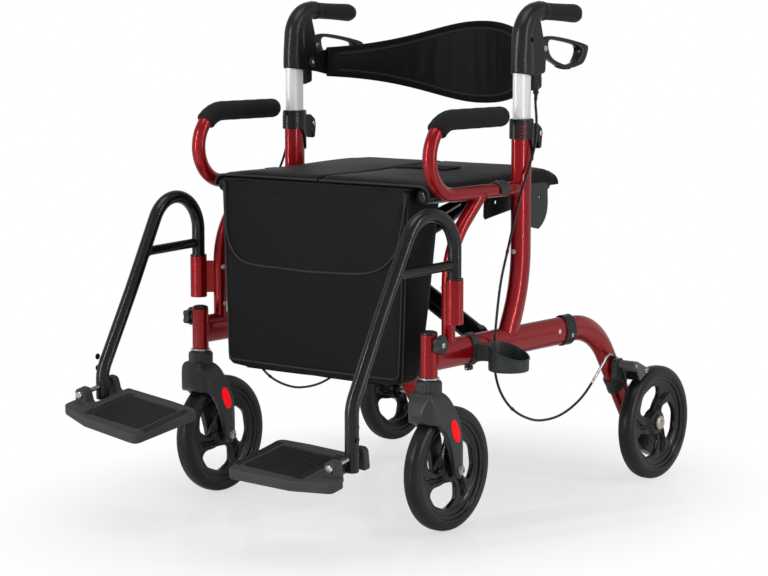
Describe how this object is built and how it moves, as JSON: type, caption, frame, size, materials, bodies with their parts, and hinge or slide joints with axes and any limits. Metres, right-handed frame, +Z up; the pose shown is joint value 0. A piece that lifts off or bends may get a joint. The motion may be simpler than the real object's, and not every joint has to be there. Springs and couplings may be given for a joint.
{
  "type": "rollator transport chair",
  "caption": "Folding walker on wheels that doubles as a transport chair, with padded backrest, bag, armrests, brakes and swing-away footrests.",
  "frame": {"origin": "middle of the chair's outline on the floor", "axes": "+Z up, +X to the seated user's left, -Y to the front where the footrests are"},
  "size_m": [0.6512, 1.0216, 0.8501],
  "materials": {
    "black_fabric": "coated woven fabric",
    "black_foam": "matt closed-cell foam",
    "black_plastic": "satin moulded plastic",
    "black_rubber": "satin rubber",
    "bright_steel": "bright plated",
    "candy_red": "metallic red gloss paint",
    "dark_grey_tray": "textured moulded plastic",
    "gloss_black_tube": "gloss black paint",
    "silver_post": "pale satin anodised"
  },
  "bodies": {
    "left_side": {"left_side_frame": "candy_red", "left_rear_leg_tube": "candy_red", "left_beam_collar": "black_plastic", "left_armrest_foam": "black_foam", "left_seat_saddle": "black_plastic", "left_rear_plate": "black_plastic", "left_height_collar": "black_plastic", "left_brake_bracket": "black_plastic", "left_brake_cable": "black_plastic", "left_tip_pedal": "black_plastic", "left_rear_axle": "bright_steel", "cane_holder": "black_plastic", "bag": "black_fabric"},
    "right_side": {"right_side_frame": "candy_red", "right_rear_leg_tube": "candy_red", "right_beam_collar": "black_plastic", "right_armrest_foam": "black_foam", "right_seat_saddle": "black_plastic", "right_rear_plate": "black_plastic", "right_height_collar": "black_plastic", "right_brake_bracket": "black_plastic", "right_brake_cable": "black_plastic", "right_tip_pedal": "black_plastic", "right_rear_axle": "bright_steel"},
    "arm_a": {"cross_brace_a": "gloss_black_tube", "brace_pivot": "bright_steel"},
    "arm_b": {"cross_brace_b": "gloss_black_tube"},
    "left_seat": {"left_seat_half": "black_fabric"},
    "right_seat": {"right_seat_half": "black_fabric"},
    "left_handle": {"left_handle_post": "silver_post", "left_handle_body": "black_plastic", "left_grip": "black_rubber", "backrest": "black_fabric"},
    "left_brake_lever": {"left_brake_lever": "black_plastic"},
    "left_brake_arm": {"left_brake_arm": "black_plastic"},
    "left_clamp_lever": {"left_clamp_lever": "black_plastic"},
    "left_caster": {"left_caster_fork": "black_plastic", "left_caster_stem": "bright_steel", "left_caster_axle": "bright_steel"},
    "left_caster_wheel": {"left_caster_wheel": "black_rubber"},
    "left_rear_wheel": {"left_rear_wheel": "black_rubber"},
    "left_footrest": {"left_footrest_hanger": "gloss_black_tube", "left_footplate_pin": "bright_steel"},
    "left_footplate": {"left_footplate": "dark_grey_tray"},
    "left_knob": {"left_star_knob": "black_plastic"},
    "right_handle": {"right_handle_post": "silver_post", "right_handle_body": "black_plastic", "right_grip": "black_rubber"},
    "right_brake_lever": {"right_brake_lever": "black_plastic"},
    "right_brake_arm": {"right_brake_arm": "black_plastic"},
    "right_clamp_lever": {"right_clamp_lever": "black_plastic"},
    "right_caster": {"right_caster_fork": "black_plastic", "right_caster_stem": "bright_steel", "right_caster_axle": "bright_steel"},
    "right_caster_wheel": {"right_caster_wheel": "black_rubber"},
    "right_rear_wheel": {"right_rear_wheel": "black_rubber"},
    "right_footrest": {"right_footrest_hanger": "gloss_black_tube", "right_footplate_pin": "bright_steel"},
    "right_footplate": {"right_footplate": "dark_grey_tray"},
    "right_knob": {"right_star_knob": "black_plastic"}
  },
  "joints": [
    {"name": "fold", "type": "hinge", "parent": "left_side", "child": "arm_a", "pos_m": [0.19897, -0.0176, 0.3], "axis": [0, 1, 0], "range_deg": [0, 28], "deforming": ["bag"]},
    {"name": "cross", "type": "hinge", "parent": "arm_a", "child": "arm_b", "pos_m": [-0.01403, -0.008, 0.42], "axis": [0, 1, 0], "range_deg": [-56, 0], "deforming": ["backrest"]},
    {"name": "right_foot", "type": "hinge", "parent": "arm_b", "child": "right_side", "pos_m": [-0.22703, 0.0016, 0.3], "axis": [0, 1, 0], "range_deg": [0, 28]},
    {"name": "left_seat_tilt", "type": "hinge", "parent": "arm_b", "child": "left_seat", "pos_m": [0.19897, 0, 0.54], "axis": [0, 1, 0], "range_deg": [0, 89.6]},
    {"name": "right_seat_tilt", "type": "hinge", "parent": "arm_a", "child": "right_seat", "pos_m": [-0.22703, 0, 0.54], "axis": [0, 1, 0], "range_deg": [-89.6, 0]},
    {"name": "left_height", "type": "slide", "parent": "left_side", "child": "left_handle", "axis": [0, 0, 1], "range_m": [-0.04, 0.06], "deforming": ["left_brake_cable"]},
    {"name": "left_brake", "type": "hinge", "parent": "left_handle", "child": "left_brake_lever", "pos_m": [0.23297, 0.104, 0.772], "axis": [1, 0, 0], "range_deg": [0, 13], "stiffness_Nm_per_rad": 0.4, "springref_deg": -11.46},
    {"name": "left_shoe", "type": "hinge", "parent": "left_side", "child": "left_brake_arm", "pos_m": [0.23297, 0.331, 0.214], "axis": [1, 0, 0], "range_deg": [-3.9, 0]},
    {"name": "left_clamp", "type": "hinge", "parent": "left_side", "child": "left_clamp_lever", "pos_m": [0.23297, 0.0975, 0.632], "axis": [1, 0, 0], "range_deg": [0, 100]},
    {"name": "left_swivel", "type": "hinge", "parent": "left_side", "child": "left_caster", "pos_m": [0.23297, -0.195, 0.25], "axis": [0, 0, 1], "continuous": true},
    {"name": "left_caster_roll", "type": "hinge", "parent": "left_caster", "child": "left_caster_wheel", "pos_m": [0.23297, -0.147, 0.1016], "axis": [1, 0, 0], "continuous": true},
    {"name": "left_rear_roll", "type": "hinge", "parent": "left_side", "child": "left_rear_wheel", "pos_m": [0.27997, 0.40991, 0.1016], "axis": [1, 0, 0], "continuous": true},
    {"name": "left_footrest_swing", "type": "hinge", "parent": "left_side", "child": "left_footrest", "pos_m": [0.26197, -0.167, 0.412], "axis": [0, 0, 1], "range_deg": [0, 90]},
    {"name": "left_knob_turn", "type": "hinge", "parent": "left_side", "child": "left_knob", "pos_m": [0.23297, -0.195, 0.31], "axis": [1, 0, 0], "continuous": true},
    {"name": "left_footplate_flip", "type": "hinge", "parent": "left_footrest", "child": "left_footplate", "pos_m": [0.25197, -0.413, 0.164], "axis": [0, 0.9848, 0.1736], "range_deg": [0, 88]},
    {"name": "right_height", "type": "slide", "parent": "right_side", "child": "right_handle", "axis": [0, 0, 1], "range_m": [-0.04, 0.06], "deforming": ["right_brake_cable"]},
    {"name": "right_brake", "type": "hinge", "parent": "right_handle", "child": "right_brake_lever", "pos_m": [-0.26103, 0.104, 0.772], "axis": [1, 0, 0], "range_deg": [0, 13], "stiffness_Nm_per_rad": 0.4, "springref_deg": -11.46},
    {"name": "right_shoe", "type": "hinge", "parent": "right_side", "child": "right_brake_arm", "pos_m": [-0.26103, 0.331, 0.214], "axis": [1, 0, 0], "range_deg": [-3.9, 0]},
    {"name": "right_clamp", "type": "hinge", "parent": "right_side", "child": "right_clamp_lever", "pos_m": [-0.26103, 0.0975, 0.632], "axis": [1, 0, 0], "range_deg": [0, 100]},
    {"name": "right_swivel", "type": "hinge", "parent": "right_side", "child": "right_caster", "pos_m": [-0.26103, -0.195, 0.25], "axis": [0, 0, 1], "continuous": true},
    {"name": "right_caster_roll", "type": "hinge", "parent": "right_caster", "child": "right_caster_wheel", "pos_m": [-0.26103, -0.147, 0.1016], "axis": [1, 0, 0], "continuous": true},
    {"name": "right_rear_roll", "type": "hinge", "parent": "right_side", "child": "right_rear_wheel", "pos_m": [-0.30803, 0.40991, 0.1016], "axis": [1, 0, 0], "continuous": true},
    {"name": "right_footrest_swing", "type": "hinge", "parent": "right_side", "child": "right_footrest", "pos_m": [-0.29003, -0.167, 0.412], "axis": [0, 0, 1], "range_deg": [-90, 0]},
    {"name": "right_knob_turn", "type": "hinge", "parent": "right_side", "child": "right_knob", "pos_m": [-0.26103, -0.195, 0.31], "axis": [1, 0, 0], "continuous": true},
    {"name": "right_footplate_flip", "type": "hinge", "parent": "right_footrest", "child": "right_footplate", "pos_m": [-0.28003, -0.413, 0.219], "axis": [0, 0.9848, 0.1736], "range_deg": [-88, 0]}
  ],
  "couplings": [
    {"joint": "cross", "follows": "fold", "ratio": -2},
    {"joint": "right_foot", "follows": "fold", "ratio": 1},
    {"joint": "left_seat_tilt", "follows": "fold", "ratio": 3.2},
    {"joint": "right_seat_tilt", "follows": "fold", "ratio": -3.2},
    {"joint": "left_shoe", "follows": "left_brake", "ratio": -0.29},
    {"joint": "right_shoe", "follows": "right_brake", "ratio": -0.29},
    {"joint": "right_height", "follows": "left_height", "ratio": 1}
  ]
}
